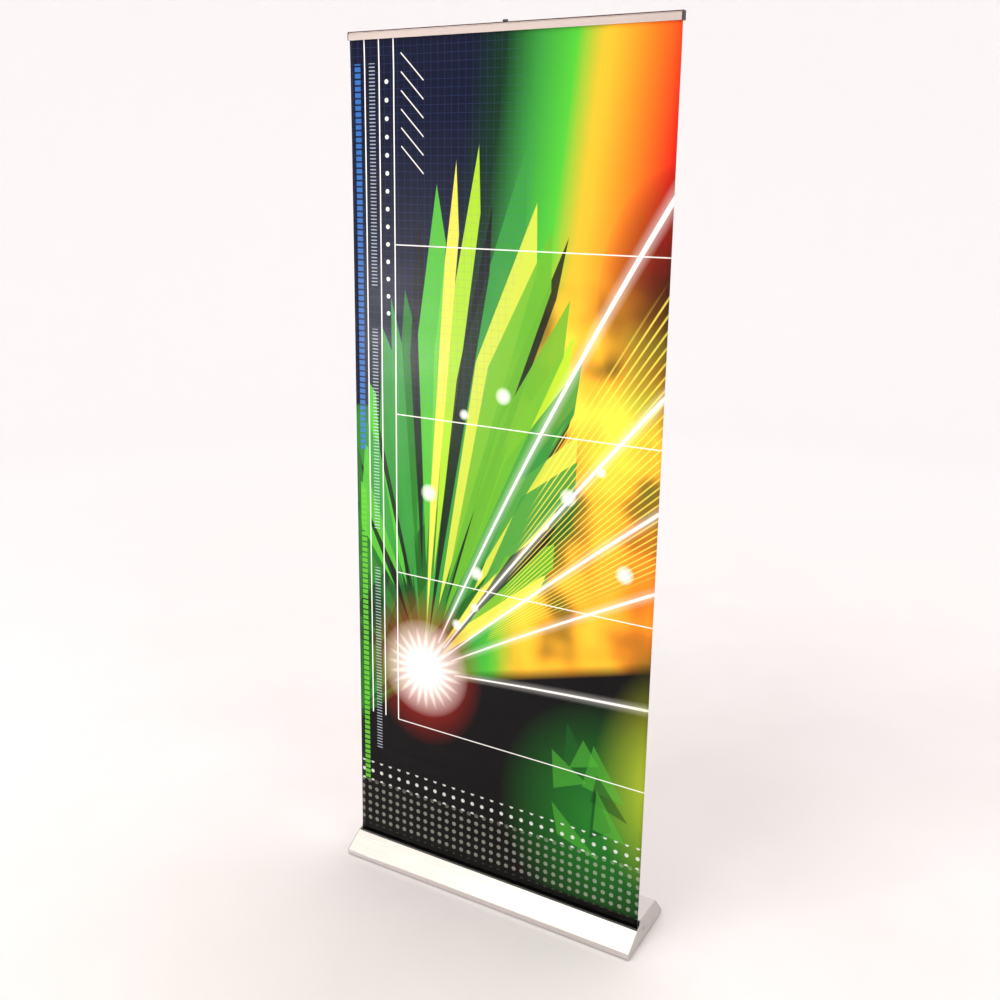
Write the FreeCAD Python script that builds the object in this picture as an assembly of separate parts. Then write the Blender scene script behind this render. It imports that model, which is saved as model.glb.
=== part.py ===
"""Roll-up banner stand: a wedge-shaped cassette with a spring roller, a printed graphic that
pulls up out of it, a snap-open top rail, and a telescopic pole that holds the rail up.

Millimetres. X runs along the cassette, -Y is the side the graphic faces, Z is up, the floor is z = 0.
"""
import FreeCAD
import Part

import math
import os

V = FreeCAD.Vector
X_AXIS = V(1, 0, 0)

# graphic
GRAPHIC_WIDTH = 800.0
FILM = 0.25
SLOT_Y = -41.0
SLOT_Z = 44.0
CLAMP_Y = 3.7
FILM_TOP_Z = 2060.0

# cassette, as (y, z) corners of its outline with the radius that rounds each one
BASE_WIDTH = 811.0
CAP_THICK = 3.0
WALL = 1.6
OUTLINE = [
    (-101.0, 3.0, 1.5),
    (-101.0, 16.0, 2.0),
    (-51.0, 47.0, 2.0),
    (-37.0, 51.0, 3.0),
    (-33.0, 65.0, 2.0),
    (60.0, 59.5, 5.0),
    (102.15, 7.0, 2.5),
    (96.0, 3.0, 1.5),
]
PAD_HEIGHT = 3.0
PAD_FRONT = -37.0
PAD_BACK = 46.0
PAD_LENGTH = 95.0
SCREW_PLACES = [(66.0, 43.0), (-84.0, 11.0)]

# roller
ROLLER_Y = -15.4
ROLLER_Z = 32.5
ROLLER_R = 16.0
ROLLER_WALL = 1.2
ROLLER_HALF = 396.0
WOUND_R = 16.9
SHAFT_R = 4.0
RUNNING = 0.05

# pole
POLE_Y = 26.0
LOWER_R = 12.5
LOWER_BORE = 11.3
LOWER_TOP = 720.0
MIDDLE_R = 11.0
MIDDLE_BORE = 9.9
MIDDLE_BOTTOM = 652.0
MIDDLE_TOP = 1395.0
UPPER_R = 9.5
UPPER_BORE = 8.4
UPPER_BOTTOM = 1327.0
UPPER_TOP = 2040.0
SOCKET_SCREW_X = 24.5
SOCKET_SCREW_R = 1.45

# top rail
RAIL_HALF = 400.0
RAIL_CAP = 2.5
RAIL_BOTTOM = 2051.0
RAIL_REAR = 13.0
HINGE_Y = 0.8
HINGE_Z = 2067.1
BEAD_R = 1.2


# ---------------------------------------------------------------- helpers
def rounded_wire(corners, x):
    """A closed wire at this x through (y, z, radius) corners, with each corner rounded."""
    spans = []
    count = len(corners)
    for i in range(count):
        y, z, radius = corners[i]
        here = V(x, y, z)
        before = V(x, corners[i - 1][0], corners[i - 1][1])
        after = V(x, corners[(i + 1) % count][0], corners[(i + 1) % count][1])
        if radius == 0:
            spans.append((here, None, here))
            continue
        back = (before - here).normalize()
        on = (after - here).normalize()
        half = math.acos(max(-1.0, min(1.0, back.dot(on)))) / 2
        reach = radius / math.tan(half)
        middle = (back + on).normalize()
        centre = here + middle * (radius / math.sin(half))
        spans.append((here + back * reach, centre - middle * radius, here + on * reach))
    edges = []
    for i in range(count):
        start, through, end = spans[i]
        if through is not None:
            edges.append(Part.Arc(start, through, end).toShape())
        edges.append(Part.LineSegment(end, spans[(i + 1) % count][0]).toShape())
    return Part.Wire(edges)


def extruded(corners, x0, x1):
    """A solid between x0 and x1 with an outline of (y, z) or (y, z, radius) corners."""
    full = [(c[0], c[1], c[2] if len(c) > 2 else 0) for c in corners]
    return Part.Face(rounded_wire(full, x0)).extrude(V(x1 - x0, 0, 0))


def bar(y0, y1, z0, z1, x0, x1):
    return Part.makeBox(x1 - x0, y1 - y0, z1 - z0, V(x0, y0, z0))


def rod(radius, x0, x1, y, z):
    return Part.makeCylinder(radius, x1 - x0, V(x0, y, z), X_AXIS)


def roller_rod(radius, x0, x1):
    return rod(radius, x0, x1, ROLLER_Y, ROLLER_Z)


def post(radius, z0, z1):
    return Part.makeCylinder(radius, z1 - z0, V(0, POLE_Y, z0))


def ring(outer, inner, z0, z1):
    return post(outer, z0, z1).cut(post(inner, z0, z1))


def mirrored(shape):
    return shape.mirror(V(0, 0, 0), X_AXIS)


def deck_z(y):
    """Height of the deck's top face."""
    front, back = OUTLINE[4], OUTLINE[5]
    return front[1] + (y - front[0]) * (back[1] - front[1]) / (back[0] - front[0])


def slope_point(share):
    """A point on the front slope, from its top edge (0) to its lower edge (1)."""
    top, toe = OUTLINE[2], OUTLINE[1]
    return top[0] + share * (toe[0] - top[0]), top[1] + share * (toe[1] - top[1])


# ---------------------------------------------------------------- cassette
def base_housing():
    half = BASE_WIDTH / 2 - CAP_THICK
    outer = rounded_wire(OUTLINE, -half)
    inner = outer.makeOffset2D(-WALL)
    shell = Part.Face(outer).extrude(V(2 * half, 0, 0))
    shell = shell.cut(Part.Face(inner).extrude(V(2 * half, 0, 0)))
    open_front = [(-110, 16), (-99.2, 16), (-99.2, 15.2), (-95, 15.2), (-52, 41), (-36, 46)]
    open_front += [(-33.2, 57), (-33.2, 63.2), (-36, 90), (-110, 90)]
    shell = shell.cut(extruded(open_front, -half, half))
    toe_ledge = bar(-99.6, -95, 12.4, 13.8, -half, half)
    web = bar(-58, -56.4, 4.4, 40, -half, half)
    slot_lip = bar(-33.4, -31.8, 50, 64, -half, half)
    ports = [screw_port(y, z, half) for y, z in SCREW_PLACES]
    shell = shell.fuse([toe_ledge, web, slot_lip] + ports).removeSplitter()
    for y, z in SCREW_PLACES:
        shell = shell.cut(rod(1.6, -half, half, y, z))
    for hole in socket_screw_holes():
        shell = shell.cut(hole)
    return shell.cut(post(16.2, 40, 80))


def socket_screw_holes():
    """The two holes that the pole socket's screws pass through."""
    radius = SOCKET_SCREW_R + RUNNING
    return [Part.makeCylinder(radius, 30, V(x, POLE_Y, 45)) for x in (-SOCKET_SCREW_X, SOCKET_SCREW_X)]


def screw_port(y, z, half):
    """A round port along the extrusion for the end cap's screws, joined to the nearest wall."""
    port = rod(3.4, -half, half, y, z)
    if y > 0:
        return port.fuse(bar(y, y + 6, z - 1, z + 1, -half, half))
    return port.fuse(bar(y - 1, y + 1, 4.0, z, -half, half))


def front_fascia():
    half = BASE_WIDTH / 2 - CAP_THICK
    thick = 1.8
    top_y, top_z = slope_point(0)
    low_y, low_z = slope_point(0.968)
    length = math.hypot(top_y - low_y, top_z - low_z)
    in_y = (top_z - low_z) / length * thick
    in_z = -(top_y - low_y) / length * thick
    lip = 1.6
    corners = [
        (low_y, low_z, 0.4),
        (top_y, top_z, 1.2),
        (top_y + lip, top_z - 0.3, 0.6),
        (top_y + lip, 37.5, 0),
        (top_y, 37.5, 0),
        (top_y, top_z + in_z - in_y * 0.62 - 0.2, 0),
        (low_y + in_y, low_z + in_z, 0.3),
    ]
    panel = extruded(corners, -half, half)
    leg = extruded([(-61, 38.6), (-59.6, 39.4), (-59.6, 29), (-61, 30.4)], -half, half)
    panel = panel.fuse(leg).removeSplitter()
    for share in (0.27, 0.78):
        y, z = slope_point(share)
        panel = panel.cut(rod(0.55, -half, half, y, z))
    return panel


def slot_lip_front():
    half = BASE_WIDTH / 2 - CAP_THICK
    return extruded([(-49.3, 37), (-47.6, 37), (-47.6, 45.2, 0.5), (-49.3, 46, 0.3)], -half, half)


def slot_brush_rear():
    half = BASE_WIDTH / 2 - CAP_THICK
    holder = bar(-35.2, -33.5, 50.5, 62.5, -half, half)
    bristles = bar(-38.6, -35.2, 55, 57.5, -half, half)
    return holder.fuse(bristles).removeSplitter()


def end_cap():
    """The right end plate: an outline plate with a spigot that locates it in the housing."""
    inside = BASE_WIDTH / 2 - CAP_THICK
    plate = extruded(OUTLINE, inside, BASE_WIDTH / 2)
    outer_rim = [e for e in plate.Edges if min(v.X for v in e.Vertexes) > BASE_WIDTH / 2 - 0.01]
    plate = plate.makeFillet(0.8, outer_rim)
    boss = roller_rod(9, inside - 2.5, inside)
    spigot = bar(-28, 30, 4.9, 7.4, inside - 6, inside)
    plate = plate.fuse([boss, spigot]).removeSplitter()
    plate = plate.cut(roller_rod(SHAFT_R + RUNNING, inside - 5, inside + 5))
    plate = plate.cut(roller_rod(6.6, BASE_WIDTH / 2 - 1.0, BASE_WIDTH / 2 + 1))
    for y, z in SCREW_PLACES:
        plate = plate.cut(rod(2.1, inside - 1, BASE_WIDTH / 2 + 1, y, z))
        plate = plate.cut(rod(3.7, BASE_WIDTH / 2 - 1.4, BASE_WIDTH / 2 + 1, y, z))
    return plate


def cap_screw(y, z):
    """A countersunk-pocket pan screw with a cross recess, in the right end plate."""
    face = BASE_WIDTH / 2
    head = rod(3.4, face - 1.4, face + 0.2, y, z)
    head = head.makeFillet(0.5, [e for e in head.Edges if abs(e.BoundBox.XMin - face - 0.2) < 1e-6])
    shank = rod(1.55, face - 14, face - 1.4, y, z)
    screw = head.fuse(shank).removeSplitter()
    cross = bar(y - 1.9, y + 1.9, z - 0.35, z + 0.35, face - 0.8, face + 1)
    cross = cross.fuse(bar(y - 0.35, y + 0.35, z - 1.9, z + 1.9, face - 0.8, face + 1))
    return screw.cut(cross)


def end_cap_screws():
    right = [cap_screw(y, z) for y, z in SCREW_PLACES]
    return Part.makeCompound(right + [mirrored(s) for s in right])


def foot_pads():
    outer = BASE_WIDTH / 2 - 8
    pad = bar(PAD_FRONT, PAD_BACK, 0, PAD_HEIGHT, outer - PAD_LENGTH, outer)
    rims = [e for e in pad.Edges if abs(e.BoundBox.ZLength) > 2]
    pad = pad.makeFillet(2.5, rims)
    for y in (-26, -10, 6, 22, 36):
        pad = pad.cut(bar(y, y + 2, -1, 0.8, outer - PAD_LENGTH - 1, outer + 1))
    return Part.makeCompound([pad, mirrored(pad)])


# ---------------------------------------------------------------- roller and spring
def idler_pin():
    inside = BASE_WIDTH / 2 - CAP_THICK
    pin = roller_rod(SHAFT_R, inside - 30, inside + 2)
    head = roller_rod(6.4, inside + 2, BASE_WIDTH / 2 + 0.6)
    hexagon = roller_rod(2.6, inside + 2.4, BASE_WIDTH / 2 + 2)
    return pin.fuse(head).removeSplitter().cut(hexagon)


def spring_shaft():
    inside = BASE_WIDTH / 2 - CAP_THICK
    shaft = roller_rod(SHAFT_R, -inside - 2, -70)
    head = roller_rod(6.4, -BASE_WIDTH / 2 - 0.6, -inside - 2)
    face = -BASE_WIDTH / 2
    slot = bar(ROLLER_Y - 0.8, ROLLER_Y + 0.8, ROLLER_Z - 8, ROLLER_Z + 8, face - 2, face + 0.6)
    return shaft.fuse(head).removeSplitter().cut(slot)


def roller_tube():
    bore = ROLLER_R - ROLLER_WALL
    tube = roller_rod(ROLLER_R, -ROLLER_HALF, ROLLER_HALF)
    return tube.cut(roller_rod(bore, -ROLLER_HALF, ROLLER_HALF))


def roller_plug(length):
    """A plug for the tube's right end, with a flange and a running bore."""
    body = roller_rod(ROLLER_R - ROLLER_WALL, ROLLER_HALF - length, ROLLER_HALF)
    flange = roller_rod(ROLLER_R, ROLLER_HALF, ROLLER_HALF + 2)
    plug = body.fuse(flange).removeSplitter()
    return plug.cut(roller_rod(SHAFT_R + RUNNING, ROLLER_HALF - length, ROLLER_HALF + 2))


def spring_anchor():
    plug = roller_rod(ROLLER_R - ROLLER_WALL, -96, -80)
    return plug.cut(roller_rod(SHAFT_R + RUNNING, -96, -80))


def torsion_spring():
    wire, coil, pitch, turns = 0.8, 8.6, 7.0, 38
    helix = Part.makeHelix(pitch, pitch * turns, coil)
    section = Part.Wire(Part.makeCircle(wire, V(coil, 0, 0), V(0, 1, 0)))
    spring = Part.Wire(helix).makePipeShell([section], True, True)
    spring.rotate(V(0, 0, 0), V(0, 1, 0), 90)
    spring.translate(V(-368, ROLLER_Y, ROLLER_Z))
    return spring


def leader_wound():
    half = GRAPHIC_WIDTH / 2 - 6
    roll = roller_rod(WOUND_R, -half, half)
    return roll.cut(roller_rod(ROLLER_R, -half, half))


# ---------------------------------------------------------------- graphic
def film_strip(y0, z0, y1, z1):
    """A strip of film the full width of the graphic, from one (y, z) to another."""
    half = GRAPHIC_WIDTH / 2
    length = math.hypot(y1 - y0, z1 - z0)
    side_y = (z1 - z0) / length * FILM / 2
    side_z = -(y1 - y0) / length * FILM / 2
    corners = [
        (y0 - side_y, z0 - side_z),
        (y0 + side_y, z0 + side_z),
        (y1 + side_y, z1 + side_z),
        (y1 - side_y, z1 - side_z),
    ]
    return extruded(corners, -half, half)


def graphic_panel():
    return film_strip(SLOT_Y, SLOT_Z, CLAMP_Y, FILM_TOP_Z)


def graphic_lead():
    """The run of film from just below the slot to where it meets the front of the roll."""
    clear = WOUND_R + FILM / 2 + 0.2
    dy, dz = SLOT_Y - ROLLER_Y, SLOT_Z - ROLLER_Z
    turn = math.atan2(dz, dy) + math.acos(clear / math.hypot(dy, dz))
    end_y = ROLLER_Y + clear * math.cos(turn)
    end_z = ROLLER_Z + clear * math.sin(turn)
    return film_strip(end_y, end_z, SLOT_Y, SLOT_Z - 0.2)


# ---------------------------------------------------------------- pole
def pole_socket():
    below_deck = extruded([(-60, 20), (110, 20), (110, deck_z(110)), (-60, deck_z(-60))], -40, 40)
    collar = post(20, 55, 68.5)
    ears = bar(POLE_Y - 7, POLE_Y + 7, 55, 64.6, -29, 29)
    ears = ears.makeFillet(5, [e for e in ears.Edges if abs(e.BoundBox.ZLength) > 5])
    flange = collar.fuse(ears).removeSplitter().cut(below_deck)
    socket = flange.fuse(post(16, 4.7, 66)).removeSplitter()
    for hole in socket_screw_holes():
        socket = socket.cut(hole)
    return socket.cut(post(LOWER_R + 0.1, 7, 70))


def socket_screws():
    screws = []
    for x in (-SOCKET_SCREW_X, SOCKET_SCREW_X):
        head = Part.makeCylinder(3, 1.6, V(x, POLE_Y, 64.6))
        recess = Part.makeBox(4, 0.8, 2, V(x - 2, POLE_Y - 0.4, 65.4))
        shank = Part.makeCylinder(SOCKET_SCREW_R, 8.1, V(x, POLE_Y, 56.6))
        screws.append(head.cut(recess).fuse(shank).removeSplitter())
    return Part.makeCompound(screws)


def pole_foot_plug():
    return post(LOWER_R, 7, 10).fuse(post(LOWER_BORE, 10, 17)).removeSplitter()


def pole_lower_tube():
    return ring(LOWER_R, LOWER_BORE, 10, LOWER_TOP)


def lock_collet(tube_r, inner_r, top):
    """A slotted ring on the end of a tube, which the sleeve squeezes onto the inner tube."""
    collet = ring(tube_r + 1.5, inner_r + 0.3, top, top + 12)
    for turn in range(3):
        gap = Part.makeBox(2 * tube_r + 8, 1.2, 8, V(-tube_r - 4, POLE_Y - 0.6, top + 4.5))
        gap.rotate(V(0, POLE_Y, 0), V(0, 0, 1), turn * 60)
        collet = collet.cut(gap)
    return collet


def lock_sleeve(tube_r, inner_r, low, top):
    """A ribbed twist sleeve over a tube's end: bored for the tube below and for the inner tube above."""
    outer = tube_r + 3.6
    sleeve = post(outer, low, top + 17)
    sleeve = sleeve.makeChamfer(0.8, [e for e in sleeve.Edges if abs(e.BoundBox.ZLength) < 1e-6])
    sleeve = sleeve.cut(post(tube_r + RUNNING, low, top - 0.3))
    sleeve = sleeve.cut(post(tube_r + 1.9, top - 0.3, top + 12.4))
    sleeve = sleeve.cut(post(inner_r + 0.4, top + 12.4, top + 17))
    for turn in range(14):
        groove = Part.makeCylinder(1.1, top + 12 - low - 4, V(outer + 0.4, POLE_Y, low + 4))
        groove.rotate(V(0, POLE_Y, 0), V(0, 0, 1), (turn + 0.5) * 360 / 14)
        sleeve = sleeve.cut(groove)
    tab = Part.makeBox(5, 3, top + 8 - low, V(outer - 1, POLE_Y - 1.5, low + 4))
    tab = tab.makeFillet(1.2, [e for e in tab.Edges if e.BoundBox.XMin > outer + 3])
    return sleeve.fuse(tab).removeSplitter()


def sliding_bush(outer_r, bore_r, bottom):
    """The bush on a sliding tube's lower end, running in the tube around it."""
    foot = ring(outer_r - RUNNING, bore_r - 2.4, bottom - 12, bottom)
    spigot = ring(bore_r, bore_r - 2.4, bottom, bottom + 12)
    return foot.fuse(spigot).removeSplitter()


def pole_top_hook():
    plug = post(UPPER_BORE, UPPER_TOP - 24, UPPER_TOP)
    head = post(UPPER_R, UPPER_TOP, UPPER_TOP + 6)
    front = RAIL_REAR + 0.4
    block = bar(front, 33, UPPER_TOP + 4, 2066, -9, 9)
    rear = [e for e in block.Edges if e.BoundBox.YMin > 32 and e.BoundBox.ZLength > 5]
    block = block.makeFillet(3, rear)
    tip = extruded([(front, 2060), (21, 2060), (18.5, 2076, 1), (front, 2076, 1.5)], -5, 5)
    tongue_outline = [
        (9.2, 2055.6),
        (front + 1, 2055.6),
        (front + 1, 2063.5),
        (11.3, 2063.5),
        (11.3, 2065.4, 0.5),
        (9.2, 2065.4, 0.5),
    ]
    tongue = extruded(tongue_outline, -8, 8)
    return plug.fuse([head, block, tip, tongue]).removeSplitter()


# ---------------------------------------------------------------- top rail
def rail_body():
    half = RAIL_HALF
    outline = [
        (4.0, RAIL_BOTTOM, 0.3),
        (RAIL_REAR, RAIL_BOTTOM, 0.6),
        (RAIL_REAR, 2069.6, 1.2),
        (1.4, 2069.6, 0),
        (1.4, 2067.4, 0),
        (4.0, 2064.6, 0),
    ]
    body = extruded(outline, -half, half)
    body = body.cut(bar(6.0, 11.7, 2053.2, 2066.4, -half, half))
    body = body.cut(bar(11.0, RAIL_REAR + 1, 2055.0, 2064.0, -half, half))
    hook = rod(BEAD_R + 1.3, -half, half, HINGE_Y, HINGE_Z)
    body = body.fuse(hook).removeSplitter()
    body = body.cut(rod(BEAD_R + RUNNING, -half, half, HINGE_Y, HINGE_Z))
    mouth = [(HINGE_Y, HINGE_Z)]
    for degrees in (172, 215, 258, 300):
        turn = math.radians(degrees)
        mouth.append((HINGE_Y + 6 * math.cos(turn), HINGE_Z + 6 * math.sin(turn)))
    return body.cut(extruded(mouth, -half, half))


def rail_jaw():
    half = RAIL_HALF - 0.5
    bead = rod(BEAD_R, -half, half, HINGE_Y, HINGE_Z)
    neck = bar(HINGE_Y - 0.5, HINGE_Y + 0.4, HINGE_Z - 3, HINGE_Z, -half, half)
    plate = extruded(
        [
            (-2.2, RAIL_BOTTOM, 0.5),
            (3.1, RAIL_BOTTOM, 0.4),
            (3.1, RAIL_BOTTOM + 1.4, 0.4),
            (-0.7, RAIL_BOTTOM + 1.6, 0.5),
            (-0.7, HINGE_Z - 3.8, 0),
            (HINGE_Y + 0.4, HINGE_Z - 3.8, 0),
            (HINGE_Y + 0.4, HINGE_Z - 2.8, 0),
            (-1.4, HINGE_Z - 2.8, 0),
            (-2.2, HINGE_Z - 1.6, 0.4),
        ],
        -half,
        half,
    )
    jaw = plate.fuse([bead, neck]).removeSplitter()
    for z in (2054.2, 2057.0, 2059.8):
        jaw = jaw.cut(rod(0.3, -half, half, -2.2, z))
    return jaw


def rail_gripper():
    return bar(CLAMP_Y + 0.02 + FILM / 2, 4.0, 2051.4, 2055.4, -RAIL_HALF + 1, RAIL_HALF - 1)


def rail_end_cap():
    outline = [
        (-2.4, RAIL_BOTTOM - 0.3, 0.8),
        (RAIL_REAR + 0.2, RAIL_BOTTOM - 0.3, 0.8),
        (RAIL_REAR + 0.2, 2069.9, 1.4),
        (-1.6, 2069.9, 3.0),
        (-2.4, 2064.0, 1.0),
    ]
    plate = extruded(outline, RAIL_HALF, RAIL_HALF + RAIL_CAP)
    top_outer = [
        e for e in plate.Edges
        if e.BoundBox.XMin > RAIL_HALF + RAIL_CAP - 0.01 and e.BoundBox.ZMin > 2069.8
    ]
    plate = plate.makeFillet(2.2, top_outer)
    spigot = bar(6.3, 10.8, 2053.8, 2066.0, RAIL_HALF - 9, RAIL_HALF)
    return plate.fuse(spigot).removeSplitter()


NODES = {
    "base_housing": base_housing(),
    "front_fascia": front_fascia(),
    "slot_lip_front": slot_lip_front(),
    "slot_brush_rear": slot_brush_rear(),
    "end_cap_right": end_cap(),
    "end_cap_left": mirrored(end_cap()),
    "end_cap_screws": end_cap_screws(),
    "foot_pads": foot_pads(),
    "idler_pin": idler_pin(),
    "spring_shaft": spring_shaft(),
    "torsion_spring": torsion_spring(),
    "roller_tube": roller_tube(),
    "roller_plug_idler": roller_plug(20),
    "roller_plug_spring": mirrored(roller_plug(24)),
    "spring_anchor": spring_anchor(),
    "leader_wound": leader_wound(),
    "graphic_lead": graphic_lead(),
    "graphic_panel": graphic_panel(),
    "pole_socket": pole_socket(),
    "socket_screws": socket_screws(),
    "pole_foot_plug": pole_foot_plug(),
    "pole_lower_tube": pole_lower_tube(),
    "lower_lock_collet": lock_collet(LOWER_R, MIDDLE_R, LOWER_TOP),
    "lower_lock_sleeve": lock_sleeve(LOWER_R, MIDDLE_R, LOWER_TOP - 20, LOWER_TOP),
    "pole_middle_tube": ring(MIDDLE_R, MIDDLE_BORE, MIDDLE_BOTTOM, MIDDLE_TOP),
    "middle_bush": sliding_bush(LOWER_BORE, MIDDLE_BORE, MIDDLE_BOTTOM),
    "upper_lock_collet": lock_collet(MIDDLE_R, UPPER_R, MIDDLE_TOP),
    "upper_lock_sleeve": lock_sleeve(MIDDLE_R, UPPER_R, MIDDLE_TOP - 15, MIDDLE_TOP),
    "pole_upper_tube": ring(UPPER_R, UPPER_BORE, UPPER_BOTTOM, UPPER_TOP),
    "upper_bush": sliding_bush(MIDDLE_BORE, UPPER_BORE, UPPER_BOTTOM),
    "pole_top_hook": pole_top_hook(),
    "rail_body": rail_body(),
    "rail_jaw": rail_jaw(),
    "rail_gripper": rail_gripper(),
    "rail_end_cap_right": rail_end_cap(),
    "rail_end_cap_left": mirrored(rail_end_cap()),
}

os.makedirs("parts", exist_ok=True)
for name, shape in NODES.items():
    shape.exportStep("parts/" + name + ".step")
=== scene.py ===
import math
import random

import bmesh
import bpy
from mathutils import Matrix, Vector


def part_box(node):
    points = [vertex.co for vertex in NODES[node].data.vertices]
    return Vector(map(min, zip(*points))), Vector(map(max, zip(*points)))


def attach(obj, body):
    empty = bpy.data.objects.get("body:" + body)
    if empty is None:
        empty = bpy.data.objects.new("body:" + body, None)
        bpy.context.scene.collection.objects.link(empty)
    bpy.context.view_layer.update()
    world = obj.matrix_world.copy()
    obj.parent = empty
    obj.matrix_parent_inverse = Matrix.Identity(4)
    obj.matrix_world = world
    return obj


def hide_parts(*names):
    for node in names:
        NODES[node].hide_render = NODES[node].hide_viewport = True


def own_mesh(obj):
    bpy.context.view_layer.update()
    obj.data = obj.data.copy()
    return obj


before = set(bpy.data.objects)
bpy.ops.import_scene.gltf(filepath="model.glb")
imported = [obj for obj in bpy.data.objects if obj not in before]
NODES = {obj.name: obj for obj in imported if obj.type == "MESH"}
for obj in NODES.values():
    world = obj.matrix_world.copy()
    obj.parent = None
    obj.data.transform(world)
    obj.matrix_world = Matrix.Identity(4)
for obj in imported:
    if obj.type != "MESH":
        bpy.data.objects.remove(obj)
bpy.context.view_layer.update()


# ---------------------------------------------------------------- camera, floor and light
def make_camera():
    azimuth, elevation, roll = (math.radians(a) for a in (30.012, 14.725, 0.191))
    back = Vector(
        (
            math.sin(azimuth) * math.cos(elevation),
            -math.cos(azimuth) * math.cos(elevation),
            math.sin(elevation),
        )
    )
    level = Vector((math.cos(azimuth), math.sin(azimuth), 0.0))
    upright = back.cross(level)
    right = level * math.cos(roll) + upright * math.sin(roll)
    up = upright * math.cos(roll) - level * math.sin(roll)
    data = bpy.data.cameras.new("camera")
    data.sensor_width = 36.0
    data.lens = 39.607
    data.shift_y = -0.05
    data.clip_end = 60.0
    camera = bpy.data.objects.new("camera", data)
    bpy.context.scene.collection.objects.link(camera)
    turn = Matrix((right, up, back)).transposed().to_4x4()
    camera.matrix_world = Matrix.Translation((1.224132, -2.119825, 1.788601)) @ turn
    bpy.context.scene.camera = camera


def add_object(name, mesh):
    thing = bpy.data.objects.new(name, mesh)
    bpy.context.scene.collection.objects.link(thing)
    return thing


def add_light(name, place, target, size, power, tint):
    data = bpy.data.lights.new(name, "AREA")
    data.shape = "RECTANGLE"
    data.size, data.size_y = size
    data.energy = power
    data.color = tint
    lamp = add_object(name, data)
    aim = (Vector(target) - Vector(place)).to_track_quat("-Z", "Y")
    lamp.matrix_world = Matrix.Translation(place) @ aim.to_matrix().to_4x4()


# ---------------------------------------------------------------- material helpers
def tone(red, green, blue):
    """A display colour from 0 to 255 as the linear colour that the shader wants."""
    linear = [
        c / 3294.6 if c <= 10 else ((c / 255 + 0.055) / 1.055) ** 2.4
        for c in (red, green, blue)
    ]
    return (*linear, 1.0)


class Surface:
    """A material with one Principled shader, and short ways to add nodes to it."""

    def __init__(self, name, colour, roughness, metallic=0.0):
        self.material = bpy.data.materials.new(name)
        self.material.use_nodes = True
        self.tree = self.material.node_tree
        self.shader = self.tree.nodes["Principled BSDF"]
        self.shader.inputs["Base Color"].default_value = colour
        self.shader.inputs["Roughness"].default_value = roughness
        self.shader.inputs["Metallic"].default_value = metallic
        self.bumps = None

    def node(self, kind, **settings):
        made = self.tree.nodes.new("ShaderNode" + kind)
        for key, value in settings.items():
            setattr(made, key, value)
        return made

    def feed(self, socket, value):
        if isinstance(value, bpy.types.NodeSocket):
            self.tree.links.new(value, socket)
        else:
            socket.default_value = value

    def math(self, operation, *values):
        made = self.node("Math", operation=operation)
        for socket, value in zip(made.inputs, values):
            self.feed(socket, value)
        return made.outputs[0]

    def vector(self, operation, *values):
        made = self.node("VectorMath", operation=operation)
        for socket, value in zip(made.inputs, values):
            self.feed(socket, value)
        return made.outputs[1 if operation in ("DOT_PRODUCT", "LENGTH") else 0]

    def place(self, scale=(1.0, 1.0, 1.0)):
        """Where a point is on the object, in metres, stretched by a scale for each axis."""
        coords = self.node("TexCoord").outputs["Object"]
        return self.vector("MULTIPLY", coords, scale)

    def noise(self, where, scale, detail=2.0, roughness=0.5):
        made = self.node("TexNoise")
        self.feed(made.inputs["Vector"], where)
        made.inputs["Scale"].default_value = scale
        made.inputs["Detail"].default_value = detail
        made.inputs["Roughness"].default_value = roughness
        return made.outputs[0]

    def spread(self, value, low, high, start=0.3, end=0.7, clamp=True):
        """The value's range from start to end, spread over low to high."""
        made = self.node("MapRange", clamp=clamp)
        for socket, number in zip(made.inputs, (value, start, end, low, high)):
            self.feed(socket, number)
        return made.outputs[0]

    def ramp(self, value, stops, constant=False):
        made = self.node("ValToRGB")
        made.color_ramp.interpolation = "CONSTANT" if constant else "LINEAR"
        self.feed(made.inputs[0], value)
        elements = made.color_ramp.elements
        while len(elements) < len(stops):
            elements.new(0.5)
        for element, (at, colour) in zip(elements, stops):
            element.position = at
        for element, (at, colour) in zip(elements, stops):
            element.color = colour
        return made.outputs[0]

    def mix(self, share, first, second, blend="MIX"):
        made = self.node("Mix", data_type="RGBA", blend_type=blend)
        for index, value in ((0, share), (6, first), (7, second)):
            self.feed(made.inputs[index], value)
        return made.outputs[2]

    def colour(self, value):
        self.feed(self.shader.inputs["Base Color"], value)

    def roughness(self, value):
        self.feed(self.shader.inputs["Roughness"], value)

    def bump(self, height, strength, distance):
        made = self.node("Bump")
        made.inputs["Strength"].default_value = strength
        made.inputs["Distance"].default_value = distance
        self.feed(made.inputs["Height"], height)
        if self.bumps:
            self.feed(made.inputs["Normal"], self.bumps)
        self.bumps = made.outputs[0]
        self.feed(self.shader.inputs["Normal"], self.bumps)


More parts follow.
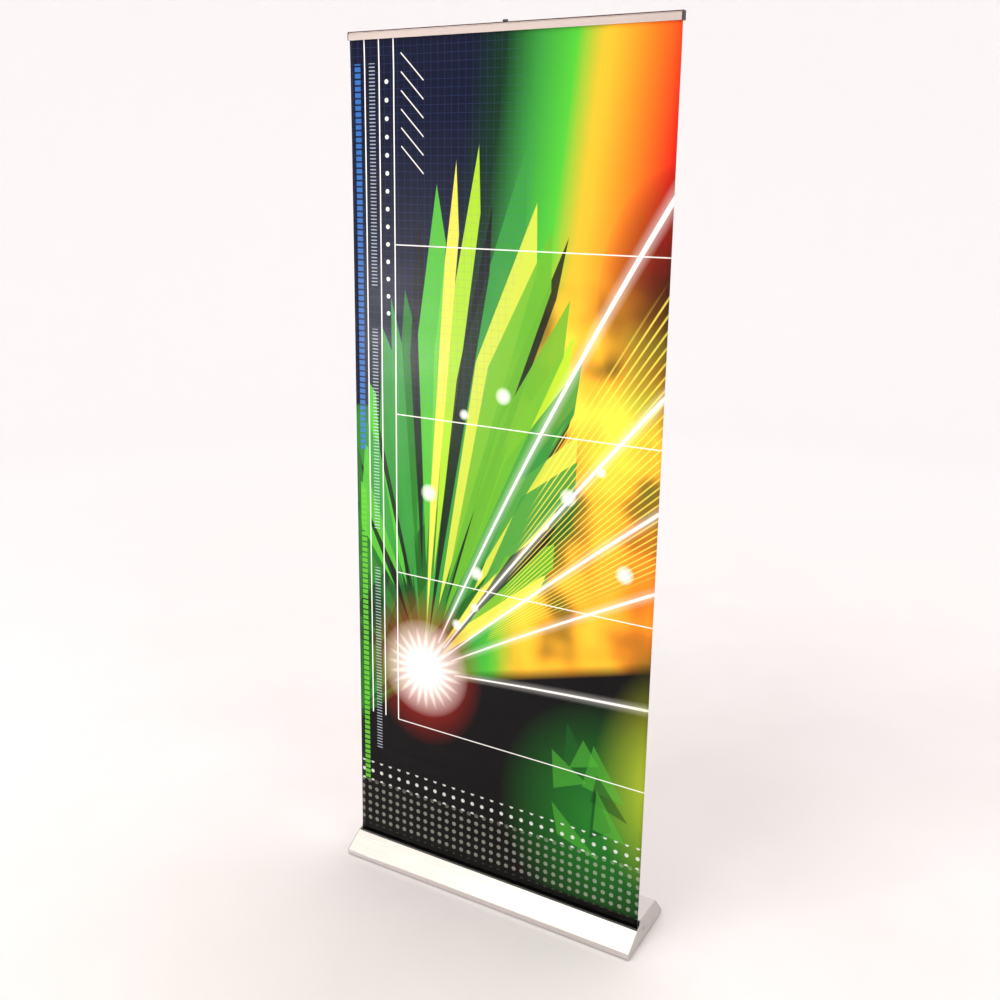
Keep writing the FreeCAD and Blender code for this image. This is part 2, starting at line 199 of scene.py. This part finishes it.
def drawn_metal(name, colour, roughness, grain, streak=0.06, seams=()):
    """Anodised or drawn metal. Its die lines run along the axis with the small grain number, and
    the grooves at the heights given are darkened in colour as painted shade."""
    surface = Surface(name, colour, roughness, metallic=1.0)
    where = surface.place(grain)
    lines = surface.noise(where, 1.0, 4.0, 0.65)
    cloud = surface.noise(surface.place(), 9.0, 3.0)
    darker = tuple(c * 0.86 for c in colour[:3]) + (1.0,)
    shade = surface.mix(surface.spread(lines, 0.0, 1.0, 0.25, 0.75), darker, colour)
    streaks = surface.spread(lines, -streak, streak)
    clouds = surface.spread(cloud, -0.04, 0.04)
    surface.roughness(surface.math("ADD", surface.math("ADD", streaks, clouds), roughness))
    surface.bump(lines, 0.12, 0.0002)
    height = surface.vector("DOT_PRODUCT", surface.place(), (0.0, 0.0, 1.0))
    # painted shade: each groove at a given height is darkened in the colour, standing in for the shade
    # inside it
    for seam in seams:
        off = surface.math("ABSOLUTE", surface.math("SUBTRACT", height, seam))
        groove_shade = surface.spread(off, 1.0, 0.0, 0.0002, 0.0006)
        shade = surface.mix(groove_shade, shade, tuple(c * 0.78 for c in colour[:3]) + (1.0,))
    surface.colour(shade)
    return surface.material


def moulded(name, colour, roughness, grain=900.0, depth=0.25):
    """Moulded plastic with a fine spark-eroded texture and slightly uneven gloss."""
    surface = Surface(name, colour, roughness)
    where = surface.place()
    fine = surface.noise(where, grain, 3.0, 0.6)
    cloud = surface.noise(where, 22.0, 3.0)
    lighter = tuple(min(1.0, c * 1.12 + 0.004) for c in colour[:3]) + (1.0,)
    surface.colour(surface.mix(surface.spread(cloud, 0.0, 1.0), colour, lighter))
    surface.roughness(surface.spread(cloud, roughness - 0.06, roughness + 0.08))
    surface.bump(fine, depth, 0.0003)
    return surface.material


def rubber(name, colour):
    surface = Surface(name, colour, 0.85)
    where = surface.place()
    dust = surface.noise(where, 160.0, 5.0, 0.7)
    surface.colour(surface.mix(surface.spread(dust, 0.0, 0.5), colour, tone(84, 82, 80)))
    surface.roughness(surface.spread(dust, 0.7, 0.95))
    surface.bump(dust, 0.3, 0.0003)
    return surface.material


def plain_film(name, colour, roughness):
    """Unprinted film, faintly rippled from lying on the roller, with painted shade along the ripples.
    """
    surface = Surface(name, colour, roughness)
    where = surface.place()
    ripple = surface.noise(surface.place((3.0, 3.0, 40.0)), 1.0, 2.0)
    fine = surface.noise(where, 1400.0, 2.0)
    shade = tuple(c * 0.94 for c in colour[:3]) + (1.0,)
    # painted shade: the colour darkens along the same ripple pattern that drives the bump
    surface.colour(surface.mix(surface.spread(ripple, 0.0, 1.0), shade, colour))
    surface.roughness(surface.spread(fine, roughness - 0.05, roughness + 0.05))
    surface.bump(ripple, 0.15, 0.0005)
    return surface.material


# ---------------------------------------------------------------- the print
class Print(Surface):
    """A picture painted layer over layer, in millimetres: x from the panel's middle, z from
    the floor. A mask is 1 or more inside its shape and 0 or less outside it."""

    def __init__(self, name, carrier, ground, roughness):
        super().__init__(name, ground, roughness)
        self.carrier = carrier
        coords = self.node("TexCoord", object=carrier).outputs["Object"]
        parts = self.node("SeparateXYZ")
        self.feed(parts.inputs[0], self.vector("MULTIPLY", coords, (1000.0, 1000.0, 1000.0)))
        flat = self.node("CombineXYZ")
        self.feed(flat.inputs[0], parts.outputs[0])
        self.feed(flat.inputs[2], parts.outputs[2])
        self.whole = self.tree
        self.so_far = {
            "X": parts.outputs[0], "Z": parts.outputs[2], "Here": flat.outputs[0], "Ink": ground,
        }
        self.open_page()

    def open_page(self):
        """Starts the next node group, as one long node tree is slow to build."""
        page = bpy.data.node_groups.new("print_page", "ShaderNodeTree")
        for name, kind in (("X", "Float"), ("Z", "Float"), ("Here", "Vector"), ("Ink", "Color")):
            page.interface.new_socket(name, in_out="INPUT", socket_type="NodeSocket" + kind)
        page.interface.new_socket("Ink", in_out="OUTPUT", socket_type="NodeSocketColor")
        self.tree = page
        given = page.nodes.new("NodeGroupInput").outputs
        self.x, self.z, self.here, self.ink = given["X"], given["Z"], given["Here"], given["Ink"]

    def close_page(self):
        page = self.tree
        self.feed(page.nodes.new("NodeGroupOutput").inputs[0], self.ink)
        self.tree = self.whole
        used = self.node("Group", node_tree=page)
        for name, value in self.so_far.items():
            self.feed(used.inputs[name], value)
        self.so_far["Ink"] = used.outputs[0]

    def turn_page(self):
        self.close_page()
        self.open_page()

    def patch(self, across, up):
        """Coordinates for a texture, with millimetres along each axis scaled."""
        made = self.node("Mapping")
        coords = self.node("TexCoord", object=self.carrier).outputs["Object"]
        self.feed(made.inputs["Vector"], coords)
        made.inputs["Scale"].default_value = (across * 1000, 0.0, up * 1000)
        return made.outputs[0]

    def lay(self, colour, mask, strength=1.0):
        if strength != 1.0:
            mask = self.math("MINIMUM", mask, strength)
        self.ink = self.mix(mask, self.ink, colour)

    def spread(self, value, low, high, start=0.3, end=0.7, clamp=False):
        return super().spread(value, low, high, start, end, clamp)

    def fade(self, colour, mask, strength):
        """Lays a soft mask, from 0 to 1, at a strength all through."""
        self.ink = self.mix(self.math("MULTIPLY", mask, strength), self.ink, colour)

    def beam(self, a, b, wide, thin, bow):
        """A bowed light trail with a bright core in a soft glow."""
        self.fade(WHITE, self.stroke(a, b, wide * 2.4, thin, wide * 2, bow), 0.4)
        self.lay(WHITE, self.stroke(a, b, wide, thin, 2.5, bow), 0.95)

    def spots(self, half, base):
        """Distance to the nearest of a square grid of spots, which starts at the base height."""
        off_x = self.math("PINGPONG", self.x, half)
        off_z = self.math("PINGPONG", self.math("SUBTRACT", self.z, base), half)
        square = self.math("MULTIPLY_ADD", off_x, off_x, self.math("MULTIPLY", off_z, off_z))
        return self.math("SQRT", square)

    def within(self, distance, reach, soft=1.2):
        """A mask of where the distance is under reach."""
        return self.math("MULTIPLY_ADD", distance, -1.0 / soft, reach / soft + 0.5)

    def side(self, a, b, inside, soft=1.2):
        """A mask of the side of the line from a to b where the point inside lies."""
        run, rise = b[0] - a[0], b[1] - a[1]
        length = math.hypot(run, rise)
        nx, nz = -rise / length, run / length
        if (inside[0] - a[0]) * nx + (inside[1] - a[1]) * nz < 0:
            nx, nz = -nx, -nz
        across = self.vector("DOT_PRODUCT", self.here, (nx / soft, 0.0, nz / soft))
        return self.math("ADD", across, 0.5 - (a[0] * nx + a[1] * nz) / soft)

    def shard(self, corners, soft=1.2):
        """A convex polygon."""
        count = len(corners)
        middle = (sum(c[0] for c in corners) / count, sum(c[1] for c in corners) / count)
        joined = None
        for i in range(count):
            mask = self.side(corners[i], corners[(i + 1) % count], middle, soft)
            joined = mask if joined is None else self.math("MINIMUM", joined, mask)
        return joined

    def block(self, x0, x1, z0, z1, soft=1.2):
        off_x = self.math("ABSOLUTE", self.math("SUBTRACT", self.x, (x0 + x1) / 2))
        in_x = self.within(off_x, (x1 - x0) / 2, soft)
        off_z = self.math("ABSOLUTE", self.math("SUBTRACT", self.z, (z0 + z1) / 2))
        return self.math("MINIMUM", in_x, self.within(off_z, (z1 - z0) / 2, soft))

    def reach(self, x, z, stretch=(1.0, 1.0)):
        """Distance from a point, measured with each axis stretched."""
        off = self.vector("SUBTRACT", self.here, (x, 0.0, z))
        if stretch != (1.0, 1.0):
            off = self.vector("MULTIPLY", off, (1 / stretch[0], 0.0, 1 / stretch[1]))
        return self.vector("LENGTH", off)

    def disc(self, x, z, radius, soft=1.2, stretch=(1.0, 1.0)):
        return self.within(self.reach(x, z, stretch), radius, soft)

    def glow(self, x, z, radius, power=2.0, stretch=(1.0, 1.0)):
        """Bright in the middle, and fading to nothing at the radius."""
        fade = self.math("MULTIPLY_ADD", self.reach(x, z, stretch), -1.0 / radius, 1.0)
        return self.math("POWER", self.math("MAXIMUM", fade, 0.0), power)

    def stroke(self, a, b, width_a, width_b, soft=1.2, bow=0.0):
        """A line from a to b that changes width, bowed sideways in the middle."""
        run, rise = b[0] - a[0], b[1] - a[1]
        length = math.hypot(run, rise)
        ux, uz = run / length, rise / length
        step = self.vector("DOT_PRODUCT", self.here, (ux / length, 0.0, uz / length))
        along = self.math("ADD", step, -(a[0] * ux + a[1] * uz) / length)
        off = self.vector("DOT_PRODUCT", self.here, (-uz, 0.0, ux))
        off = self.math("ADD", off, a[0] * uz - a[1] * ux)
        if bow:
            rest = self.math("SUBTRACT", 1.0, along)
            arch = self.math("MULTIPLY", along, rest)
            off = self.math("MULTIPLY_ADD", arch, -4.0 * bow, off)
        off = self.math("ABSOLUTE", off)
        if width_a != width_b:
            off = self.math("MULTIPLY_ADD", along, (width_a - width_b) / 2, off)
        across = self.within(off, width_a / 2, soft)
        middle = self.math("ABSOLUTE", self.math("SUBTRACT", along, 0.5))
        return self.math("MINIMUM", across, self.within(middle, 0.5, soft / length))

    def stripes(self, value, pitch, width, soft=1.0):
        """Thin stripes at each whole pitch of the value."""
        return self.within(self.math("PINGPONG", value, pitch / 2), width / 2, soft)

    def shear(self, slope, height):
        """How far right a point is, where the picture's bands lean by the slope below a height."""
        return self.math("ADD", self.x, self.math("MULTIPLY_ADD", self.z, -slope, slope * height))

    def angle(self, x, z):
        """Degrees clockwise from straight up, seen from a point."""
        off_x = self.math("SUBTRACT", self.x, x)
        off_z = self.math("SUBTRACT", self.z, z)
        turn = self.math("ARCTAN2", off_x, off_z)
        return self.math("MULTIPLY", turn, 180 / math.pi)


# the fan's middle, in millimetres
BURST = (-200, 560)
# height in millimetres up to which the film is painted near-black as the slot's shade
SLOT_SHADE_TOP = 72
WHITE = tone(255, 252, 248)
BLACK = tone(24, 22, 24)
NAVY = tone(24, 30, 58)
DEEP_GREEN = tone(26, 66, 38)
GREEN = tone(72, 160, 74)
BRIGHT_GREEN = tone(98, 200, 70)
LIME = tone(184, 222, 60)
YELLOW = tone(238, 228, 84)
GOLD = tone(250, 190, 62)
ORANGE = tone(246, 140, 44)
RED = tone(222, 52, 34)
BLADE_GREENS = (tone(34, 100, 44), tone(50, 134, 44), GREEN, tone(104, 196, 70))
BLADE_LIMES = (LIME, tone(120, 186, 58), tone(214, 222, 92), tone(232, 228, 100), GREEN)


def ray(angle, distance):
    """A point at a distance from the burst, at an angle in degrees clockwise from straight up."""
    turn = math.radians(angle)
    return BURST[0] + distance * math.sin(turn), BURST[1] + distance * math.cos(turn)


def kite(angle, start, end, width):
    """A blade along a ray: pointed at both ends, and widest past its middle."""
    long = end - start
    x, z = ray(angle, 1.0)
    side = (z - BURST[1], BURST[0] - x)
    corners = [ray(angle, start)]
    for along, share in ((0.62, -0.5), (1.0, 0.12), (0.86, 0.5)):
        at = ray(angle, start + long * along)
        corners.append((at[0] + side[0] * width * share, at[1] + side[1] * width * share))
    return corners


def print_bands(art):
    """Soft colour bands that lean across the top, dark on the left and hot on the right."""
    inks = (NAVY, NAVY, NAVY, NAVY, NAVY, DEEP_GREEN, GREEN, BRIGHT_GREEN, GOLD, ORANGE, RED)
    stops = [(k / 10, ink) for k, ink in enumerate(inks)]
    art.ink = art.ramp(art.spread(art.shear(0.12, 2052), 0.0, 1.0, -400, 425), stops)


def print_grounds(art):
    """The large soft areas under the fan: warm right, green left and a black foot."""
    cloud = art.noise(art.patch(0.0045, 0.0045), 1.0)
    stops = [(0.34, tone(62, 112, 44)), (0.42, tone(166, 128, 44)), (0.5, GOLD), (0.64, YELLOW)]
    warm = art.ramp(cloud, stops)
    art.lay(warm, art.shard([(60, 1500), (520, 1500), (520, 560), (60, 620)], 160))
    art.fade(tone(18, 34, 22), art.glow(430, 1500, 240, 0.6, (0.8, 1.2)), 1.0)
    art.fade(ORANGE, art.glow(430, 860, 260, 0.8), 0.8)
    left = art.shard([(-520, 1160), (-300, 1080), (-120, 800), (-120, 500), (-520, 460)], 60)
    art.lay(tone(22, 52, 32), left, 0.95)
    art.lay(BLACK, art.shard([(-520, 440), (520, 740), (520, -40), (-520, -40)], 30))


def print_facets(art):
    """Crystal facets round the burst: three sets of seeded wedges that cross."""
    dice = random.Random(9)
    tints = (tone(18, 34, 24), tone(30, 78, 36), tone(52, 128, 46), tone(92, 184, 86))
    area = art.shard([(-500, 1200), (0, 1200), (60, 800), BURST, (-500, 300)], 30)
    for x, z, start, end, count, strength in (
        (*BURST, -90, 40, 16, 0.92), (-400, 400, 0, 90, 10, 0.3), (100, 1300, -180, -120, 8, 0.24),
    ):
        around = art.spread(art.angle(x, z), 0.0, 1.0, start, end)
        wedges = [
            ((k + dice.uniform(0.0, 0.6)) / count, tints[(k + dice.choice((0, 2))) % 4])
            for k in range(count)
        ]
        art.lay(art.ramp(around, wedges, constant=True), area, strength)


def print_fan(art):
    """An even fan of blades, the middle ones longest, in tints from green to yellow."""
    dice = random.Random(21)
    count = 30
    for step, k in enumerate(dice.sample(range(count), count)):
        share = k / (count - 1)
        reach = 420 + 880 * math.sin(math.pi * (0.12 + 0.76 * share)) ** 3 * dice.uniform(0.8, 1.0)
        family = BLADE_GREENS if share < 0.4 else BLADE_LIMES
        dark = k % 4 == 2
        colour = BLACK if dark else dice.choice(family)
        width = 46 if dark else dice.uniform(46, 100)
        art.lay(colour, art.shard(kite(-26 + 72 * share, dice.uniform(60, 300), reach, width)), 0.9)
        if step % 8 == 7:
            art.turn_page()


def print_rays(art):
    """Fine lines and a few plain light beams that spread from the middle of the fan."""
    turn, near = art.angle(*BURST), art.reach(*BURST)
    gap = art.math("MULTIPLY", art.math("PINGPONG", turn, 0.5), math.pi / 180)
    off = art.math("MULTIPLY", art.math("SUBTRACT", gap, 0.0018), near)
    area = art.shard([(0, 700), (520, 1000), (520, 1700), (160, 1190)], 30)
    art.lay(tone(252, 236, 110), art.math("MINIMUM", art.within(off, 0.0, 1.4), area), 0.7)
    art.turn_page()
    for angle in (28, 40, 52, 64, 88):
        art.beam(ray(angle, 1500), ray(angle, 90), 12, 3, -24)
    art.turn_page()
    art.fade(tone(206, 60, 40), art.glow(*BURST, 190, 0.9, (0.9, 1.1)), 0.8)
    spokes = art.math("SINE", art.math("MULTIPLY", art.angle(*BURST), 0.4))
    star = art.math("SUBTRACT", art.math("MULTIPLY_ADD", spokes, 22.0, 90.0), art.reach(*BURST))
    art.lay(tone(255, 232, 216), art.math("MULTIPLY", star, 0.02), 0.8)
    art.fade(WHITE, art.glow(*BURST, 130, 0.8), 1.0)
    dice = random.Random(5)
    for _ in range(9):
        x, z = ray(dice.uniform(0, 60), dice.uniform(160, 800))
        art.fade(WHITE, art.glow(x, z, dice.uniform(12, 24), 0.6), 1.0)


def print_foot(art):
    """The foot: a green glow with seeded facets, a yellow edge and fading dots."""
    art.fade(tone(52, 140, 56), art.glow(300, 290, 280, 0.9, (1.0, 1.1)), 0.95)
    art.fade(tone(214, 224, 70), art.glow(460, 420, 240, 1.2, (0.8, 1.3)), 0.9)
    dice = random.Random(17)
    tints = (tone(22, 60, 34), tone(40, 110, 50), tone(96, 180, 70))
    for _ in range(8):
        x, z = dice.uniform(140, 340), dice.uniform(160, 420)
        corners = [
            (x, z),
            (x + dice.uniform(50, 110), z + dice.uniform(-40, 40)),
            (x + dice.uniform(-20, 40), z + dice.uniform(60, 130)),
        ]
        art.lay(dice.choice(tints), art.shard(corners, 3), 0.5)
    art.turn_page()
    corner = art.shard([(-400, 80), (-400, 180), (400, 180), (400, 80)], 60)
    dots = art.within(art.spots(11.0, 0.0), 5.0, 2.0)
    art.lay(tone(214, 214, 200), art.math("MINIMUM", dots, corner), 0.35)
    rows = art.block(-400, 400, 200, 256)
    dots = art.within(art.spots(14.0, 200.0), 5.0)
    art.lay(tone(226, 228, 222), art.math("MINIMUM", dots, rows), 0.8)


def print_line_art(art):
    """Plain technical lines: a faint grid, rules, cells, tick scales, diagonals and dots."""
    grid = art.math("MAXIMUM", art.stripes(art.x, 18, 0.6), art.stripes(art.z, 18, 0.6))
    area = art.shard([(-520, 2080), (20, 2080), (60, 1700), (-60, 1250), (-520, 1250)], 60)
    art.lay(tone(92, 120, 176), art.math("MINIMUM", grid, area), 0.16)
    for low, high, ink in ((1100, 2000, tone(70, 130, 200)), (200, 1000, tone(120, 200, 70))):
        cells = art.within(art.math("PINGPONG", art.z, 7.0), 5.0)
        art.lay(ink, art.math("MINIMUM", art.block(-388, -372, low, high), cells), 0.85)
    for pitch, low, high in ((8.0, 1500, 2000), (8.0, 900, 1400), (8.0, 300, 800)):
        ticks = art.stripes(art.z, pitch, pitch * 0.28)
        column = art.block(-348, -332, low, high)
        art.lay(tone(214, 222, 232), art.math("MINIMUM", ticks, column), 0.6)
    art.turn_page()
    for x, low, high in ((-360, 400, 2080), (-320, 400, 2080), (-280, 400, 2080)):
        art.lay(WHITE, art.block(x - 1.5, x + 1.5, low, high), 0.95)
    for z in (1600, 1200, 800, 400):
        art.lay(WHITE, art.block(-280, 430, z - 1.2, z + 1.2), 0.85)
    for k in range(6):
        z = 2020 - 40 * k
        art.lay(WHITE, art.stroke((-260, z), (-200, z - 60), 2.4, 2.4), 0.85)
    art.turn_page()
    for k in range(14):
        art.lay(WHITE, art.disc(-300, 1960 - 40 * k, 5.0), 0.95)


def printed_film(carrier):
    """Satin laminated print. The picture is tied to the top rail, so it slides as the rail does."""
    art = Print("printed_film", carrier, BLACK, 0.3)
    art.shader.inputs["Specular IOR Level"].default_value = 0.1
    for layer in (
        print_bands, print_grounds, print_facets, print_fan,
        print_rays, print_foot, print_line_art,
    ):
        layer(art)
        art.turn_page()
    # painted shade: the film's bottom strip, where it runs into the slot, painted near-black over the
    # print
    art.lay(tone(8, 8, 9), art.block(-420, 420, 0, SLOT_SHADE_TOP, 10))
    art.close_page()
    depth = art.node("Gamma")
    art.feed(depth.inputs["Color"], art.so_far["Ink"])
    depth.inputs["Gamma"].default_value = 1.22
    art.colour(depth.outputs[0])
    fine = art.noise(art.place(), 1500.0, 2.0)
    slow = art.noise(art.place((2.0, 2.0, 9.0)), 1.0, 2.0)
    art.roughness(art.math("ADD", art.spread(fine, -0.04, 0.04), art.spread(slow, 0.26, 0.34)))
    art.bump(slow, 0.12, 0.001)
    return art.material


# ---------------------------------------------------------------- pieces
def make_graphic():
    """The printed panel: one stretched film, faintly waved and curled by rolling."""
    low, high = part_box("graphic_panel")
    columns, rows = 64, 160
    thick = 0.00025
    mesh = bpy.data.meshes.new("graphic_print")
    work = bmesh.new()
    sides = []
    for face in (-1, 1):
        grid = []
        for j in range(rows + 1):
            t = j / rows
            held = max(0.0, min(1.0, t / 0.05, (1 - t) / 0.05 - 1.0))
            line = []
            for i in range(columns + 1):
                s = i / columns
                x = low.x + (high.x - low.x) * s
                z = low.z + (high.z - low.z) * t
                y = low.y + thick / 2 + (high.y - low.y - thick) * min(1.0, t / 0.965)
                wave = 0.0006 * math.sin(3.1 * t * math.pi + 5.0 * s)
                wave *= math.sin(math.pi * (1.6 * s + 0.2))
                curl = 0.0016 * (abs(2 * s - 1) ** 6) * math.sin(math.pi * t)
                line.append(work.verts.new((x, y + face * thick / 2 + held * (wave + curl), z)))
            grid.append(line)
        sides.append(grid)
    front, back = sides
    for j in range(rows):
        for i in range(columns):
            work.faces.new((front[j][i], front[j][i + 1], front[j + 1][i + 1], front[j + 1][i]))
            rear = work.faces.new((back[j][i], back[j + 1][i], back[j + 1][i + 1], back[j][i + 1]))
            rear.material_index = 1
    rim = [(0, i) for i in range(columns)] + [(j, columns) for j in range(rows)]
    rim += [(rows, i) for i in range(columns, 0, -1)] + [(j, 0) for j in range(rows, 0, -1)]
    for k in range(len(rim)):
        (j0, i0), (j1, i1) = rim[k], rim[(k + 1) % len(rim)]
        edge = work.faces.new((front[j0][i0], back[j0][i0], back[j1][i1], front[j1][i1]))
        edge.material_index = 1
        edge.smooth = False
    for face in work.faces:
        face.smooth = len(face.verts) == 4 and face.calc_area() > 1e-5
    work.to_mesh(mesh)
    work.free()
    panel = add_object("graphic_print", mesh)
    mesh.materials.append(printed_film(NODES["rail_body"]))
    mesh.materials.append(plain_film("film_back", tone(214, 214, 212), 0.5))
    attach(panel, "base")
    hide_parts("graphic_panel")
    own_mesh(panel)
    return panel


def make_brush():
    """The dark pile brush behind the graphic: a holder strip with two rows of fine bristles."""
    low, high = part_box("slot_brush_rear")
    root = -0.0352
    dice = random.Random(7)
    mesh = bpy.data.meshes.new("slot_brush_pile")
    work = bmesh.new()
    holder = bmesh.ops.create_cube(work, size=1.0)
    for vert in holder["verts"]:
        vert.co = Vector((
            (low.x + high.x) / 2 + vert.co.x * (high.x - low.x),
            (root + high.y) / 2 + vert.co.y * (high.y - root),
            (low.z + high.z) / 2 + vert.co.z * (high.z - low.z),
        ))
    bmesh.ops.bevel(work, geom=list(work.edges), offset=0.0003, segments=2, affect="EDGES")
    spacing, bristle = 0.0011, 0.00022
    count = int((high.x - low.x) / spacing) - 2
    for row in (0.0555, 0.0570):
        for k in range(count):
            x = low.x + spacing * (k + 1.5)
            tip = Vector((
                x + dice.uniform(-0.0006, 0.0006),
                low.y + dice.uniform(0.0, 0.0004),
                row + dice.uniform(0.0002, 0.0009),
            ))
            base = [
                work.verts.new((x + bristle * math.cos(a), root + 0.0002, row + bristle * math.sin(a)))
                for a in (0.0, 2.1, 4.2)
            ]
            end = work.verts.new(tip)
            for i in range(3):
                work.faces.new((base[i], base[(i + 1) % 3], end))
            work.faces.new(base[::-1])
    bmesh.ops.recalc_face_normals(work, faces=work.faces)
    work.to_mesh(mesh)
    work.free()
    brush = add_object("slot_brush_pile", mesh)
    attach(brush, "base")
    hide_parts("slot_brush_rear")
    return brush


def paint(material, *names):
    for name in names:
        for slot in NODES[name].material_slots:
            slot.material = material


# ---------------------------------------------------------------- build
def make_floor():
    """A pale floor that turns up, far out, into an even surround."""
    flat, bend, top, steps = 5.0, 3.0, 9.0, 16
    profile = [(0.0, 0.0), (flat, 0.0)]
    for i in range(1, steps + 1):
        a = math.pi / 2 * i / steps
        profile.append((flat + bend * math.sin(a), bend - bend * math.cos(a)))
    profile.append((flat + bend, top))
    mesh = bpy.data.meshes.new("floor")
    work = bmesh.new()
    turns = 96
    rings = []
    for radius, height in profile:
        if radius == 0:
            rings.append([work.verts.new((0, 0, height))] * turns)
        else:
            angles = [2 * math.pi * k / turns for k in range(turns)]
            rings.append([
                work.verts.new((radius * math.cos(a), radius * math.sin(a), height)) for a in angles
            ])
    for inner, outer in zip(rings, rings[1:]):
        for k in range(turns):
            m = (k + 1) % turns
            corners = [inner[k], outer[k], outer[m], inner[m]]
            if inner[k] is inner[m]:
                corners = [inner[k], outer[k], outer[m]]
            work.faces.new(corners).smooth = True
    work.to_mesh(mesh)
    work.free()
    floor = add_object("floor", mesh)
    surface = Surface("floor_paint", tone(226, 221, 219), 0.7)
    mottle = surface.noise(surface.place(), 2.2, 3.0)
    near = surface.mix(surface.spread(mottle, 0.0, 1.0), tone(225, 219, 217), tone(229, 224, 222))
    away = surface.vector("LENGTH", surface.place((1.0, 1.0, 0.0)))
    surface.colour(surface.mix(surface.spread(away, 0.0, 1.0, 0.8, 4.5), near, tone(252, 250, 250)))
    mesh.materials.append(surface.material)


make_camera()
bpy.context.scene.view_settings.view_transform = "Standard"
world = bpy.data.worlds.new("world")
bpy.context.scene.world = world
world.use_nodes = True
world.node_tree.nodes["Background"].inputs["Color"].default_value = (1.0, 0.98, 0.985, 1.0)
world.node_tree.nodes["Background"].inputs["Strength"].default_value = 0.9
make_floor()
add_light("key", (-1.0, -3.2, 5.4), (0, 0, 1.0), (2.4, 2.0), 92.0, (1.0, 0.99, 0.98))
add_light("strip", (-2.6, -3.3, 0.9), (0, 0, 1.2), (0.24, 1.0), 56.0, (1.0, 0.99, 0.98))
add_light("fill", (3.4, -1.6, 2.2), (0, 0, 0.9), (2.0, 2.0), 24.0, (1.0, 0.97, 0.94))
add_light("top", (0.4, 1.2, 4.2), (0, 0, 0.6), (3.0, 3.0), 40.0, (1.0, 0.99, 0.98))

SILVER = tone(228, 226, 226)
ALONG_X = (1.5, 900.0, 900.0)
ALONG_Z = (700.0, 700.0, 1.2)
paint(drawn_metal("housing_aluminium", tone(222, 215, 213), 0.4, ALONG_X), "base_housing")
# heights of the fascia's two grooves, in metres
SEAMS = (0.0228, 0.0386)
# painted light: the fascia is the housing's aluminium given a near-white colour, brighter because its
# front slope faces the light
paint(drawn_metal("fascia_aluminium", tone(253, 246, 234), 0.36, ALONG_X, 0.04, SEAMS), "front_fascia")
paint(moulded("cap_grey", tone(176, 170, 166), 0.5), "end_cap_left", "end_cap_right")
paint(moulded("black_plastic", tone(30, 30, 32), 0.45), "slot_lip_front", "rail_gripper")
paint(moulded("socket_plastic", tone(44, 44, 46), 0.5), "pole_socket", "pole_foot_plug")
paint(
    drawn_metal("steel", tone(196, 196, 196), 0.3, (90, 90, 90)),
    "end_cap_screws", "socket_screws", "idler_pin", "spring_shaft",
)
paint(drawn_metal("spring_steel", tone(120, 118, 116), 0.4, (60, 60, 60)), "torsion_spring")
paint(rubber("pad_rubber", tone(44, 43, 42)), "foot_pads")
paint(plain_film("leader_film", tone(222, 222, 220), 0.45), "leader_wound", "graphic_lead")
paint(
    moulded("grey_plastic", tone(92, 93, 96), 0.5),
    "roller_plug_idler", "roller_plug_spring", "spring_anchor",
)
paint(moulded("lock_plastic", tone(52, 53, 56), 0.45), "lower_lock_sleeve", "upper_lock_sleeve")
paint(
    moulded("collet_plastic", tone(150, 150, 150), 0.5),
    "lower_lock_collet", "upper_lock_collet", "middle_bush", "upper_bush",
)
paint(moulded("hook_plastic", tone(60, 56, 54), 0.45), "pole_top_hook")
paint(
    drawn_metal("pole_aluminium", SILVER, 0.3, ALONG_Z),
    "pole_lower_tube", "pole_middle_tube", "pole_upper_tube",
)
paint(drawn_metal("roller_aluminium", SILVER, 0.4, ALONG_X), "roller_tube")
paint(drawn_metal("rail_dark", tone(74, 54, 47), 0.42, ALONG_X), "rail_body")
paint(drawn_metal("rail_silver", tone(204, 190, 182), 0.44, ALONG_X), "rail_jaw")
paint(moulded("rail_cap_plastic", tone(50, 42, 40), 0.45), "rail_end_cap_left", "rail_end_cap_right")

make_graphic()
brush = make_brush()
brush.data.materials.append(moulded("brush_fibre", tone(26, 25, 26), 0.8))
